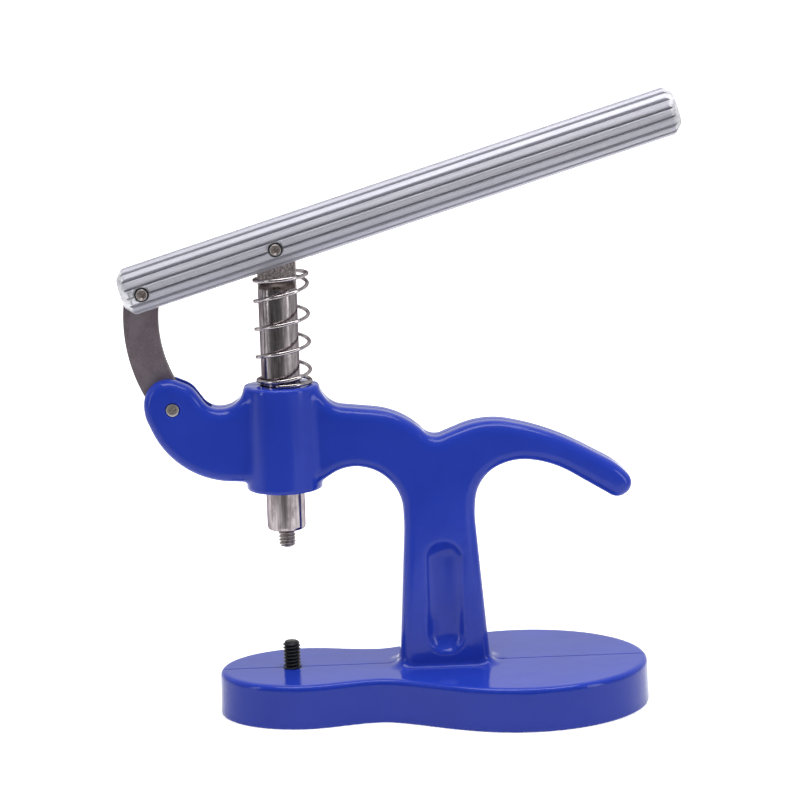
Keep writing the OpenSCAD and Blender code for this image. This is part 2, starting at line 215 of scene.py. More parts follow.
# ---------------------------------------------------------------- materials
class Paint:
    """A material being built: adds nodes and links them by name."""

    def __init__(self, name, colour, rough, metal=0.0, **sockets):
        self.material = bpy.data.materials.new(name)
        self.material.use_nodes = True
        self.tree = self.material.node_tree
        self.shader = self.tree.nodes["Principled BSDF"]
        self.set(Base_Color=(*colour, 1), Roughness=rough, Metallic=metal, **sockets)
        self.place = self.add("ShaderNodeTexCoord").outputs["Object"]

    def set(self, **sockets):
        for name, value in sockets.items():
            self.shader.inputs[name.replace("_", " ")].default_value = value

    def add(self, kind, links=None, props=None, **values):
        node = self.tree.nodes.new(kind)
        for key, value in (props or {}).items():
            setattr(node, key, value)
        for key, value in values.items():
            node.inputs[key.replace("_", " ")].default_value = value
        for key, source in (links or {}).items():
            self.tree.links.new(source, node.inputs[key])
        return node

    def noise(self, scale, detail=3.0, stretch=None, rotation=(0, 0, 0), roughness=0.55):
        """Noise of so many cells a metre, which may be drawn out along the turned axes."""
        source = self.place
        if stretch:
            turn = self.add("ShaderNodeMapping", {"Vector": source}, {"vector_type": "POINT"})
            turn.inputs["Rotation"].default_value = rotation
            pull = self.add("ShaderNodeVectorMath", {0: turn.outputs["Vector"]},
                            {"operation": "MULTIPLY"})
            pull.inputs[1].default_value = stretch
            source = pull.outputs["Vector"]
        return self.add("ShaderNodeTexNoise", {"Vector": source},
                        Scale=scale, Detail=detail, Roughness=roughness).outputs["Fac"]

    def span(self, source, low, high, out_low, out_high):
        """Maps low..high of a value onto out_low..out_high, clamped."""
        node = self.add("ShaderNodeMapRange", {"Value": source})
        for key, value in zip(("From Min", "From Max", "To Min", "To Max"), (low, high, out_low, out_high)):
            node.inputs[key].default_value = value
        return node.outputs["Result"]

    def mix(self, factor, first, second):
        node = self.add("ShaderNodeMix", {"Factor": factor}, {"data_type": "RGBA"})
        for socket, value in ((node.inputs[6], first), (node.inputs[7], second)):
            if isinstance(value, tuple):
                socket.default_value = (*value, 1)
            else:
                self.tree.links.new(value, socket)
        return node.outputs[2]

    def blend(self, value, low, high, first, second, most=1.0):
        """One colour below low of a value, going over to another at high."""
        return self.mix(self.span(value, low, high, 0.0, most), first, second)

    def rough(self, noise, low, high):
        """Roughness between two values, following a noise."""
        self.drive("Roughness", self.span(noise, 0.3, 0.7, low, high))

    def combine(self, first, second, operation):
        node = self.add("ShaderNodeMath", {0: first}, {"operation": operation})
        if isinstance(second, (int, float)):
            node.inputs[1].default_value = second
        else:
            self.tree.links.new(second, node.inputs[1])
        return node.outputs["Value"]

    def axis(self, name):
        """Distance along one axis, in metres."""
        return self.add("ShaderNodeSeparateXYZ", {"Vector": self.place}).outputs[name]

    def near_zero(self, value, width):
        """1 where a value is nearly 0, falling to 0 at width either side."""
        return self.span(self.combine(value, 0.0, "ABSOLUTE"), 0.0, width, 1.0, 0.0)

    def edges(self, low, high):
        """0 on flat areas, rising to 1 on sharp outer edges."""
        return self.span(self.add("ShaderNodeNewGeometry").outputs["Pointiness"], low, high, 0.0, 1.0)

    def drive(self, socket, source):
        self.tree.links.new(source, self.shader.inputs[socket])

    def bump(self, layers):
        """Stacks bump layers of (height, strength, depth in millimetres)."""
        normal = None
        for height, strength, depth in layers:
            node = self.add("ShaderNodeBump", {"Height": height}, Strength=strength, Distance=depth * MM)
            if normal:
                self.tree.links.new(normal, node.inputs["Normal"])
            normal = node.outputs["Normal"]
        self.drive("Normal", normal)


CHIP = (THROAT + 21.6, -0.2, BASE_H + 0.6)  # small chip of paint right of the column's foot


def blue_paint():
    """Glossy enamel over a casting: soft orange peel, lighter edges that are partly thin paint and partly
    painted highlight, painted shade on the base's walls, a dark mould line and a chip.
    """
    p = Paint("blue_paint", (0.008, 0.030, 0.35), 0.12, Specular_IOR_Level=0.27)
    cloud = p.noise(38, 3)
    speck = p.noise(900, 2)
    body = p.blend(cloud, 0.3, 0.7, (0.013, 0.036, 0.345), (0.018, 0.044, 0.395))
    # Edges painted lighter: partly thin, worn paint, partly a painted highlight on the rounded edges.
    worn = p.combine(p.edges(0.515, 0.58), p.span(speck, 0.42, 0.62, 0.2, 1.0), "MULTIPLY")
    # Painted shade: the base's walls, below its top edge, are painted darker.
    painted_wall_shade = p.span(p.axis("Z"), (BASE_H - 1.5) * MM, (BASE_H - 0.2) * MM, 0.5, 0.0)
    body = p.mix(painted_wall_shade, body, (0.002, 0.012, 0.17))
    body = p.mix(p.combine(worn, 0.35, "MULTIPLY"), body, (0.06, 0.09, 0.50))
    line = p.near_zero(p.axis("Y"), 0.26 * MM)
    body = p.mix(p.combine(line, 0.75, "MULTIPLY"), body, (0.006, 0.010, 0.09))
    gap = p.add("ShaderNodeVectorMath", {0: p.place}, {"operation": "DISTANCE"})
    gap.inputs[1].default_value = np.array(CHIP) * MM
    chipped = p.span(gap.outputs["Value"], 0.6 * MM, 1.1 * MM, 0.9, 0.0)
    p.drive("Base Color", p.mix(chipped, body, (0.02, 0.02, 0.05)))
    p.rough(p.noise(160, 4), 0.08, 0.17)
    p.bump([(p.noise(240, 2), 0.16, 0.25), (p.noise(70, 1), 0.12, 0.8)])
    return p.material


def bare_aluminium():
    """Extruded rod: fine scratches along its length, dulled by handling, darker in its flute roots."""
    p = Paint("bare_aluminium", (0.42, 0.42, 0.46), 0.5, 0.4)
    along = dict(stretch=(0.02, 1, 1), rotation=(0, HANDLE_RISE, 0))
    streak = p.noise(2600, 4, **along)
    grain = p.noise(900, 5, roughness=0.7)
    turn = p.add("ShaderNodeVectorRotate", {"Vector": p.place}, {"rotation_type": "AXIS_ANGLE"},
                 Angle=HANDLE_RISE)
    turn.inputs["Center"].default_value = PLUNGER_PIN * MM
    turn.inputs["Axis"].default_value = (0, 1, 0)
    split = p.add("ShaderNodeSeparateXYZ", {"Vector": turn.outputs["Vector"]})
    height = p.combine(split.outputs["Z"], (PLUNGER_PIN[2] + HANDLE_AXIS_LIFT) * MM, "SUBTRACT")
    squares = p.combine(p.combine(height, 2, "POWER"), p.combine(split.outputs["Y"], 2, "POWER"), "ADD")
    from_axis = p.combine(squares, 0.5, "POWER")
    # The colour darkens towards the flute roots, mottled by the grain.
    depth = p.span(from_axis, (HANDLE_R - 0.9) * MM, (HANDLE_R - 0.15) * MM, 1.0, 0.0)
    tone = p.blend(streak, 0.3, 0.7, (0.40, 0.395, 0.455), (0.53, 0.525, 0.59))
    handling = p.noise(55, 3, stretch=(0.25, 1, 1), rotation=(0, HANDLE_RISE, 0))
    tone = p.blend(handling, 0.35, 0.7, tone, (0.37, 0.365, 0.42), 0.35)
    flute_darkening = p.combine(depth, p.span(grain, 0.35, 0.6, 0.3, 0.8), "MULTIPLY")
    tone = p.mix(flute_darkening, tone, (0.19, 0.19, 0.215))
    p.drive("Base Color", p.mix(p.combine(p.edges(0.52, 0.60), 0.3, "MULTIPLY"), tone, (0.66, 0.66, 0.70)))
    p.rough(grain, 0.55, 0.7)
    p.bump([(streak, 0.5, 0.08), (grain, 0.2, 0.04)])
    return p.material


def scuffed_aluminium():
    """Fresh metal at the handle's bevels and pin seats, brighter and unevenly rubbed."""
    p = Paint("scuffed_aluminium", (0.62, 0.62, 0.66), 0.35, 0.5)
    rub = p.noise(420, 4, roughness=0.65)
    p.drive("Base Color", p.blend(rub, 0.35, 0.62, (0.46, 0.46, 0.51), (0.86, 0.86, 0.90)))
    p.rough(rub, 0.3, 0.5)
    p.bump([(rub, 0.4, 0.08)])
    return p.material


def plated_steel():
    """Polished plunger: bright plating with upright draw marks and faint stains."""
    p = Paint("plated_steel", (0.44, 0.40, 0.41), 0.15, 1.0, Specular_Tint=(0.30, 0.27, 0.31, 1))
    draw = p.noise(1500, 4, stretch=(1, 1, 0.06))
    stain = p.noise(160, 5, stretch=(1, 1, 0.4), roughness=0.65)
    tone = p.blend(draw, 0.35, 0.65, (0.28, 0.25, 0.26), (0.52, 0.475, 0.49))
    p.drive("Base Color", p.blend(stain, 0.46, 0.62, tone, (0.13, 0.105, 0.11), 0.75))
    p.drive("Roughness", p.span(stain, 0.3, 0.75, 0.07, 0.26))
    p.bump([(draw, 0.25, 0.03), (stain, 0.12, 0.05)])
    return p.material


def milled_steel():
    """The tongue's flats: rough cutter marks, gone brown."""
    p = Paint("milled_steel", (0.20, 0.17, 0.16), 0.5, 0.9)
    grit = p.noise(1300, 5, roughness=0.8)
    marks = p.noise(1100, 3, stretch=(0.12, 1, 1), rotation=(0, 0.5, 0))
    p.drive("Base Color", p.blend(grit, 0.38, 0.62, (0.20, 0.165, 0.165), (0.80, 0.72, 0.72)))
    p.rough(grit, 0.38, 0.7)
    p.bump([(grit, 0.6, 0.12), (marks, 0.5, 0.10)])
    return p.material


def stained_shaded_band():
    """The unplated top of the plunger: stained brown under the spring, and painted dark as the shade under
    the handle and the spring.
    """
    p = Paint("stained_shaded_band", (0.09, 0.072, 0.068), 0.45, 0.8)
    stain = p.noise(700, 4, roughness=0.7)
    p.drive("Base Color", p.blend(stain, 0.35, 0.65, (0.05, 0.038, 0.035), (0.17, 0.14, 0.13)))
    p.rough(stain, 0.35, 0.6)
    p.bump([(stain, 0.4, 0.06)])
    return p.material


def turned_thread():
    """The plunger's thread: the same steel, duller, with bright crests."""
    p = Paint("turned_thread", (0.42, 0.38, 0.36), 0.3, 1.0)
    grit = p.noise(1500, 4, roughness=0.7)
    tone = p.blend(grit, 0.35, 0.65, (0.24, 0.20, 0.195), (0.46, 0.42, 0.41))
    p.drive("Base Color", p.mix(p.edges(0.50, 0.58), tone, (0.66, 0.64, 0.62)))
    p.rough(grit, 0.22, 0.42)
    p.bump([(grit, 0.3, 0.04)])
    return p.material


def tumbled_steel():
    """Blanked link plate: a dull, slightly mottled brown-grey face."""
    p = Paint("tumbled_steel", (0.13, 0.115, 0.12), 0.5, 0.75)
    fine = p.noise(1900, 4, roughness=0.75)
    broad = p.noise(120, 4)
    tone = p.blend(fine, 0.3, 0.7, (0.185, 0.15, 0.175), (0.31, 0.255, 0.295))
    tone = p.blend(broad, 0.4, 0.7, tone, (0.155, 0.125, 0.14), 0.5)
    p.drive("Base Color", p.mix(p.combine(p.edges(0.52, 0.58), 0.4, "MULTIPLY"), tone, (0.4, 0.38, 0.38)))
    p.rough(fine, 0.42, 0.62)
    p.bump([(fine, 0.4, 0.06), (broad, 0.2, 0.1)])
    return p.material


def sheared_edge(name="sheared_edge"):
    """Dark cut steel for the link's edge, also used as painted shade in the gap around the pins: nearly
    black, with shear marks.
    """
    p = Paint(name, (0.03, 0.026, 0.026), 0.5, 0.6)
    shear = p.noise(1600, 4, stretch=(1, 0.08, 1))
    p.drive("Base Color", p.blend(shear, 0.35, 0.7, (0.016, 0.014, 0.014), (0.08, 0.07, 0.07)))
    p.rough(shear, 0.35, 0.6)
    p.bump([(shear, 0.4, 0.08)])
    return p.material


def black_oxide():
    """Oiled black screw: worn a little on the crests of its thread."""
    p = Paint("black_oxide", (0.012, 0.012, 0.014), 0.34, 0.6)
    grit = p.noise(1500, 4, roughness=0.7)
    worn = p.combine(p.edges(0.52, 0.62), p.span(grit, 0.4, 0.6, 0.2, 1.0), "MULTIPLY")
    p.drive("Base Color", p.mix(p.combine(worn, 0.3, "MULTIPLY"), (0.012, 0.012, 0.014), (0.16, 0.15, 0.15)))
    p.rough(grit, 0.26, 0.5)
    p.bump([(grit, 0.3, 0.05)])
    return p.material


def spring_wire():
    """Bright drawn wire with faint marks along it."""
    p = Paint("spring_wire", (0.48, 0.44, 0.44), 0.18, 1.0, Specular_Tint=(0.25, 0.22, 0.24, 1))
    spot = p.noise(420, 4, roughness=0.6)
    p.drive("Base Color", p.blend(spot, 0.5, 0.72, (0.50, 0.46, 0.465), (0.20, 0.175, 0.17), 0.6))
    p.rough(spot, 0.12, 0.30)
    p.bump([(p.noise(2400, 2), 0.12, 0.03)])
    return p.material


def pin_steel():
    """Cut pin ends: bright rims, brown in the cups."""
    p = Paint("pin_steel", (0.32, 0.28, 0.27), 0.4, 0.95)
    grit = p.noise(1700, 5, roughness=0.75)
    tone = p.blend(grit, 0.35, 0.65, (0.20, 0.155, 0.14), (0.44, 0.39, 0.37))
    p.drive("Base Color", p.mix(p.edges(0.51, 0.56), tone, (0.62, 0.60, 0.60)))
    p.rough(grit, 0.3, 0.55)
    p.bump([(grit, 0.5, 0.08)])
    return p.material


def glowing_shaded_floor():
    """Staging floor with painted light and shade: it glows behind the object and faintly far to its right as
    painted light, and is painted darker in front and far to the right of it.

    The polished plunger mirrors the floor, so the floor's tones are what gives it its dark bands.
    """
    p = Paint("glowing_shaded_floor", (0.90, 0.90, 0.90), 0.7, Emission_Color=(1, 1, 1, 1))
    p.rough(p.noise(3, 2), 0.65, 0.75)
    along, across_x = p.axis("Y"), p.axis("X")
    toward = p.combine(along, p.combine(across_x, 0.0, "MAXIMUM"), "ADD")
    # Painted shade: the floor is painted dark in front of the object.
    front_shade = p.blend(toward, -0.24, -0.12, (0.13, 0.13, 0.13), (0.9, 0.9, 0.9))
    right = p.combine(across_x, p.combine(p.combine(along, 0.0, "MAXIMUM"), 0.2, "MULTIPLY"), "SUBTRACT")
    # Painted shade: the floor is painted grey far to the right.
    p.drive("Base Color", p.blend(right, 0.25, 0.38, front_shade, (0.45, 0.45, 0.45)))
    # Painted light: the floor glows in a strip behind the object and faintly far to its right.
    middle = p.combine(p.combine(along, 0.026, "MULTIPLY"), 0.0427, "ADD")
    aside = p.combine(p.combine(across_x, middle, "SUBTRACT"), 0.0, "ABSOLUTE")
    strip = p.span(p.combine(aside, p.combine(along, 0.95, "ADD"), "DIVIDE"), 0.17, 0.32, 1.0, 0.12)
    glow_behind = p.combine(p.span(along, -0.16, 0.30, 0.0, 1.0), strip, "MULTIPLY")
    glow_right = p.span(across_x, 0.15, 0.6, 0.0, 0.10)
    p.drive("Emission Strength", p.combine(glow_behind, glow_right, "ADD"))
    return p.material


def wear(obj, *materials):
    """Gives an object its materials, with the first on every face."""
    obj.data.materials.clear()
    for material in materials:
        obj.data.materials.append(material)
    obj.data.polygons.foreach_set("material_index", [0] * len(obj.data.polygons))
    return obj


def stands_for(obj, node, body):
    """Shows obj in place of a CAD node, moving with a body."""
    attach(obj, body)
    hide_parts(node)
    return obj


# ---------------------------------------------------------------- casting
def round_join(a, b, r):
    """Union of two distances with a fillet of radius r."""
    both = np.hypot(np.maximum(r - a, 0), np.maximum(r - b, 0))
    return np.maximum(r, np.minimum(a, b)) - both


def round_meet(a, b, r):
    """Intersection of two distances with an edge rounded to radius r."""
    both = np.hypot(np.maximum(r + a, 0), np.maximum(r + b, 0))
    return np.minimum(-r, np.maximum(a, b)) + both


def side_corners():
    """Corners (x, z, radius) of the side view, clockwise from the lobe's top left."""
    px, pz = LINK_PIVOT[0], LINK_PIVOT[2]
    valley = BOSS_TOP_Z - 7.5
    hx, hz = HORN_TIP
    left, right = THROAT - COLUMN_W / 2, THROAT + COLUMN_W / 2
    foot = BASE_H / 2
    return [
        (px - 8, pz + 14.2, 9.5), (px + 7, pz + 7.7, 9), (px + 13, valley, 7),
        (-17, valley, 9), (1 - BOSS_R, BOSS_TOP_Z - 1, 0.4), (BOSS_R - 1, BOSS_TOP_Z - 1, 0.4),
        (18, valley - 0.5, 8.5), (THROAT - 12, valley - 3.5, 39),
        (THROAT - 2, hz + 19, 7.5), (THROAT + 17, hz + 26.5, 31), (THROAT + 41, hz + 21, 92),
        (hx + 0.6, hz + 7.2, 27), (hx + 7.1, hz - 0.3, 4.6), (hx - 0.1, hz - 5.5, 4.8),
        (THROAT + 41.5, ARM_UNDER_Z + 3, 43), (THROAT + 28, ARM_UNDER_Z + 5, 25),
        (right + 1.5, ARM_UNDER_Z - 0.5, 19.5), (right - 0.3, ARM_UNDER_Z - 14, 60),
        (THROAT + FOOT_HALF + 1.6, foot, 0.4), (THROAT - FOOT_HALF - 0.2, foot, 0.4),
        (left, ARM_UNDER_Z - 19, 60), (left - 0.5, ARM_UNDER_Z + 1, 18),
        (22.5, ARM_UNDER_Z + 5, 16), (14.5, ARM_UNDER_Z, 0.4),
        (-15, ARM_UNDER_Z, 0.4), (px, ARM_UNDER_Z + 1.5, 32), (px - 11, pz - 1, 16.5),
    ]


class Outline:
    """Signed distance to a closed clockwise outline of straight runs joined by tangent arcs."""

    def __init__(self, corners):
        at = np.array([c[:2] for c in corners], float)
        radius = np.array([c[2] for c in corners], float)
        before, after = np.roll(at, 1, axis=0) - at, np.roll(at, -1, axis=0) - at
        reach = np.linalg.norm(after, axis=1)
        before /= np.linalg.norm(before, axis=1)[:, None]
        after /= reach[:, None]
        half = np.arccos(np.clip((before * after).sum(1), -1, 1)) / 2
        tangent = radius / np.tan(half)
        share = np.minimum(1, reach / (tangent + np.roll(tangent, -1)))
        radius = radius * np.minimum(share, np.roll(share, 1))
        tangent = radius / np.tan(half)
        middle = before + after
        middle /= np.linalg.norm(middle, axis=1)[:, None]
        self.centre = at + middle * (radius / np.sin(half))[:, None]
        self.radius, self.middle = radius, -middle
        self.span = np.cos(math.pi / 2 - half)
        self.convex = before[:, 0] * after[:, 1] - before[:, 1] * after[:, 0] > 0
        self.start = at + after * tangent[:, None]
        self.end = np.roll(at + before * tangent[:, None], -1, axis=0)

    def distance(self, x, z):
        """Negative inside."""
        x, z = np.broadcast_arrays(x, z)
        best, sign = np.full(x.shape, 1e9), np.ones(x.shape)
        for (cx, cz), r, (mx, mz), span, convex in zip(
                self.centre, self.radius, self.middle, self.span, self.convex):
            dx, dz = x - cx, z - cz
            far = np.hypot(dx, dz)
            gap = np.where(dx * mx + dz * mz >= far * span, np.abs(far - r), 1e9)
            nearer = gap < best
            outside = (far > r) if convex else (far < r)
            best = np.where(nearer, gap, best)
            sign = np.where(nearer, np.where(outside, 1.0, -1.0), sign)
        for (ax, az), (bx, bz) in zip(self.start, self.end):
            ex, ez = bx - ax, bz - az
            length2 = ex * ex + ez * ez
            if length2 < 1e-6:
                continue
            dx, dz = x - ax, z - az
            t = np.clip((dx * ex + dz * ez) / length2, 0, 1)
            gap = np.hypot(dx - t * ex, dz - t * ez)
            nearer = gap < best
            best = np.where(nearer, gap, best)
            sign = np.where(nearer, np.where(ex * dz - ez * dx > 0, 1.0, -1.0), sign)
        return best * sign


def ease(t):
    """Goes smoothly from 0 to 1."""
    return (1 - np.cos(math.pi * t)) / 2


def waist_width(x):
    """Half width of the base between its two widest places."""
    front = ease(np.clip((x - WIDEST_FRONT_X) / (WAIST_X - WIDEST_FRONT_X), 0, 1))
    rear = ease(np.clip((x - WAIST_X) / (WIDEST_REAR_X - WAIST_X), 0, 1) ** WAIST_LEAN)
    return FRONT_HALF_W + (WAIST_HALF_W - FRONT_HALF_W) * front + (REAR_HALF_W - WAIST_HALF_W) * rear


def oval_distance(x, y, long, wide):
    """Distance to an oval, nearly exact close to it."""
    scaled = np.hypot(x / long, y / wide) + 1e-9
    slope = np.hypot(x / long ** 2, y / wide ** 2) + 1e-9
    return scaled * (scaled - 1) / slope


def footprint_distance(x, y):
    """Distance to the base's outline: half ovals at its ends and a waist between."""
    step = 0.05
    slope = (waist_width(x + step) - waist_width(x - step)) / (2 * step)
    middle = (np.abs(y) - waist_width(x)) / np.sqrt(1 + slope ** 2)
    front = oval_distance(x - WIDEST_FRONT_X, y, FRONT_REACH + WIDEST_FRONT_X, FRONT_HALF_W)
    rear = oval_distance(x - WIDEST_REAR_X, y, REAR_REACH - WIDEST_REAR_X, REAR_HALF_W)
    return np.where(x < WIDEST_FRONT_X, front, np.where(x > WIDEST_REAR_X, rear, middle))


EDGE_R = 3.9
BOSS_EDGE_R, BOSS_FILLET, BOSS_DRAFT = 0.9, 1.9, 0.016
FRONT_FILLET, SIDE_FILLET, FILLET_RAMP, FOOT_SHIFT = 1.2, 4.2, 4.5, 0.7
BASE_EDGE_R, UNDERSIDE_EDGE_R, BASE_DRAFT = 1.7, 0.5, 0.02
SCOOP_X, SCOOP_LOW, SCOOP_HIGH, SCOOP_EDGE_R = THROAT + 1, 2 * BASE_H - 4, ARM_UNDER_Z - 31, 0.5
LINE_DEPTH, LINE_WIDTH, LINE_START_Z = 0.16, 0.22, 0.5
DENT_DEPTH = 0.5
side_view = Outline(side_corners())


def dent(dx, dy, dz, size):
    """A soft hollow, 1 at its middle, with its reach along X, Y and Z."""
    return np.exp(-(dx / size[0]) ** 2 - (dy / size[1]) ** 2 - (dz / size[2]) ** 2)


def casting_distance(x, y, z):
    """Signed distance to the painted casting before its holes are machined."""
    plate = round_meet(side_view.distance(x, z), np.abs(y) - PLATE_T / 2, EDGE_R)
    barrel = np.hypot(x, y) - BOSS_R + BOSS_DRAFT * (z - BOSS_BOTTOM_Z)
    middle = (BOSS_TOP_Z + BOSS_BOTTOM_Z) / 2
    boss = round_meet(barrel, np.abs(z - middle) - (BOSS_TOP_Z - BOSS_BOTTOM_Z) / 2, BOSS_EDGE_R)
    arm = round_join(plate, boss, BOSS_FILLET)
    base = round_meet(footprint_distance(x, y) + BASE_DRAFT * z, z - BASE_H, BASE_EDGE_R)
    base = round_meet(base, -z, UNDERSIDE_EDGE_R)
    # The column's fillet is wide at its left and right ends and tight along its faces.
    beside = np.clip((np.abs(x - THROAT - FOOT_SHIFT) - FOOT_HALF + FILLET_RAMP) / FILLET_RAMP, 0, 1)
    body = round_join(arm, base, FRONT_FILLET + (SIDE_FILLET - FRONT_FILLET) * beside)
    sink = PLATE_T / 2 + SCOOP_R - SCOOP_DEPTH
    scoop = np.sqrt((x - SCOOP_X) ** 2 + (np.abs(y) - sink) ** 2
                    + (z - np.clip(z, SCOOP_LOW, SCOOP_HIGH)) ** 2) - SCOOP_R
    body = round_meet(body, -scoop, SCOOP_EDGE_R)
    chip = dent(x - CHIP[0], y, z - CHIP[2], (1.0, 0.6, 1.2))
    # The mould line leaves a notch on both sides of the boss's top rim.
    notch = dent(np.abs(x) - BOSS_R + 0.7, y, z - BOSS_TOP_Z + 0.5, (0.9, 1.1, 0.6))
    line = LINE_DEPTH * np.exp(-(y / LINE_WIDTH) ** 2) * np.clip(z - LINE_START_Z, 0, 1)
    return body + DENT_DEPTH * (notch + chip) + line


def grid_lines():
    """Sample planes: even along X and Z, close together beside the mould line at y = 0.

    Along Z they start at an odd height, so that no plane lies in a flat face.
    """
    cell, margin = 0.85, 2
    fine = np.array([0.12, 0.24, 0.38, 0.6, 0.95, 1.45])
    half = np.concatenate([fine, np.arange(2.15, REAR_HALF_W + margin, cell)])
    xs = np.arange(CASTING_LOW[0] - margin, CASTING_HIGH[0] + margin, cell)
    zs = np.arange(-2.03, CASTING_HIGH[2] + margin, cell)
    return xs, np.concatenate([-half[::-1], [0.0], half]), zs


def net_surface(field, axes):
    """Surface net of a sampled field: one point per crossed cell, one quad per crossed edge."""
    inside = field < 0
    corner = [tuple(slice(o, field.shape[k] - 1 + o) for k, o in enumerate(offset))
              for offset in np.ndindex(2, 2, 2)]
    filled = sum(inside[c].astype(np.int8) for c in corner)
    crossed = (filled > 0) & (filled < 8)
    index = np.full(crossed.shape, -1)
    index[crossed] = np.arange(crossed.sum())
    cells = np.argwhere(crossed)
    total, hits = np.zeros((len(cells), 3)), np.zeros(len(cells))
    for axis in range(3):
        for offset in np.ndindex(2, 2):
            first = np.insert(np.array(offset), axis, 0)
            second = first + np.eye(3, dtype=int)[axis]
            a, b = (field[tuple((cells + o).T)] for o in (first, second))
            hit = (a < 0) != (b < 0)
            t = np.where(hit, a / np.where(hit, a - b, 1), 0)
            where = [axes[k][cells[:, k] + first[k]] for k in range(3)]
            where[axis] = where[axis] + t * (axes[axis][cells[:, axis] + 1] - axes[axis][cells[:, axis]])
            total += np.stack(where, axis=1) * hit[:, None]
            hits += hit
    quads = []
    for axis in range(3):
        u, v = (axis + 1) % 3, (axis + 2) % 3
        low = [slice(None)] * 3
        low[axis] = slice(0, -1)
        high = list(low)
        high[axis] = slice(1, None)
        change = inside[tuple(low)] != inside[tuple(high)]
        found = np.argwhere(change)
        found = found[(found[:, u] > 0) & (found[:, v] > 0)]
        du, dv = np.eye(3, dtype=int)[u], np.eye(3, dtype=int)[v]
        ring = [index[tuple((found - o).T)] for o in (du + dv, dv, 0 * du, du)]
        quad = np.stack(ring, axis=1)
        leaving = inside[tuple(low)][tuple(found.T)]
        quads.append(np.where(leaving[:, None], quad, quad[:, ::-1]))
    return total / hits[:, None], np.concatenate(quads)


def settle(points, distance, rounds=3):
    """Moves points onto the zero surface along its gradient."""
    step, least_slope2, most_move = 0.02, 0.2, 0.4
    for _ in range(rounds):
        x, y, z = points.T
        slope = np.stack([
            distance(x + step, y, z) - distance(x - step, y, z),
            distance(x, y + step, z) - distance(x, y - step, z),
            distance(x, y, z + step) - distance(x, y, z - step)], axis=1) / (2 * step)
        size = np.maximum((slope ** 2).sum(1), least_slope2)
        move = slope * (distance(x, y, z) / size)[:, None]
        points = points - np.clip(move, -most_move, most_move)
    return points


def frame_casting():
    """The painted casting, with its bore, link slot, pin hole and counterbore machined in."""
    xs, ys, zs = grid_lines()
    field = casting_distance(xs[:, None, None], ys[None, :, None], zs[None, None, :])
    points, quads = net_surface(field, (xs, ys, zs))
    points = settle(points, casting_distance)
    body = make_object("painted_casting", points, quads, 60)
    px, pz = LINK_PIVOT[0], LINK_PIVOT[2]
    slot_half = LINK_T / 2 + SLOT_GAP
    slot_run, clear = 7.5, 2
    cut(body,
        turned("bore", [(PLUNGER_R + 0.6, BOSS_BOTTOM_Z - clear), (PLUNGER_R + 0.6, BOSS_BOTTOM_Z),
                        (PLUNGER_R + RUN_GAP, BOSS_BOTTOM_Z + 0.6), (PLUNGER_R + RUN_GAP, BOSS_TOP_Z - 0.7),
                        (PLUNGER_R + 0.7, BOSS_TOP_Z), (PLUNGER_R + 0.7, BOSS_TOP_Z + clear)]),
        block("link_slot", (px - 20, -slot_half, pz - LINK_W / 2 - 1),
              (px + LINK_W / 2 + slot_run, slot_half, pz + 30)),
        across(turned("pin_hole", [(FRAME_PIN_R + 0.45, -9), (FRAME_PIN_R + 0.45, -7.5),
                                   (FRAME_PIN_R + 0.1, -7.1), (FRAME_PIN_R + 0.1, 7.1),
                                   (FRAME_PIN_R + 0.45, 7.5), (FRAME_PIN_R + 0.45, 9)], 64), px, pz),
        turned("counterbore", [(COUNTERBORE_R, -clear), (COUNTERBORE_R, COUNTERBORE_H),
                               (STUD_R + RUN_GAP, COUNTERBORE_H), (STUD_R + RUN_GAP, BASE_H - 0.5),
                               (STUD_R + 0.5, BASE_H), (STUD_R + 0.5, BASE_H + clear)]),
        sharp_deg=50)
    return stands_for(wear(body, BLUE), "frame_casting", "frame")


# ---------------------------------------------------------------- threads
def thread_ring_radius(angle, z, root, crest):
    """Radius of a right-handed 60-degree thread with small flats, at an angle and a height."""
    flat = 0.12
    phase = (z / THREAD_PITCH - angle / (2 * math.pi)) % 1.0
    wave = np.clip(np.abs(phase * 2 - 1) * (1 + 2 * flat) - flat, 0, 1)
    return root + (crest - root) * wave


def threaded(name, stations, crest, root, segments=72, rings_a_turn=14):
    """A threaded rod along Z. stations gives (height, limit) pairs that taper the thread."""
    heights = [s[0] for s in stations]
    limits = [s[1] for s in stations]
    zs = np.arange(heights[0], heights[-1] + 1e-6, THREAD_PITCH / rings_a_turn)
    angles = np.arange(segments) * 2 * math.pi / segments
    rings = []
    for z in zs:
        radius = np.minimum(thread_ring_radius(angles, z, root, crest), np.interp(z, heights, limits))
        rings.append(np.stack([radius * np.cos(angles), radius * np.sin(angles),
                               np.full(segments, z)], axis=1))
    points, faces = shells(rings)
    return make_object(name, points, faces, 30)


def lower_die_screw():
    """A socket screw fitted from below, whose end is the lower stud."""
    low, high = extent("lower_die_screw")
    head_top = low[2] + SCREW_HEAD_H
    socket_r, socket_top = SCREW_HEAD_R * 0.58, low[2] + SCREW_HEAD_H / 2
    stem = threaded("black_screw", [(head_top - 0.4, STUD_R), (high[2] - 0.95, STUD_R),
                                    (high[2] - 0.1, STUD_R - 0.85), (high[2], STUD_R - 1.0)],
                    STUD_R, THREAD_ROOT)
    head = turned("head", [(SCREW_HEAD_R - 0.5, low[2]), (SCREW_HEAD_R - 0.15, low[2] + 0.15),
                           (SCREW_HEAD_R, low[2] + 0.5), (SCREW_HEAD_R, head_top - 0.25),
                           (SCREW_HEAD_R - 0.25, head_top)])
    combine(stem, [head], "UNION")
    cut(stem, turned("socket", [(socket_r, low[2] - 1), (socket_r, socket_top), (0, socket_top + 1.2)], 6))
    return stands_for(wear(stem, black_oxide()), "lower_die_screw", "frame")


# ---------------------------------------------------------------- plunger
BAND = 2.3  # height of the band below the shoulder, stained and painted dark as shade
TONGUE_DROP = 1.2  # the tongue's round top is centred this far below its pin


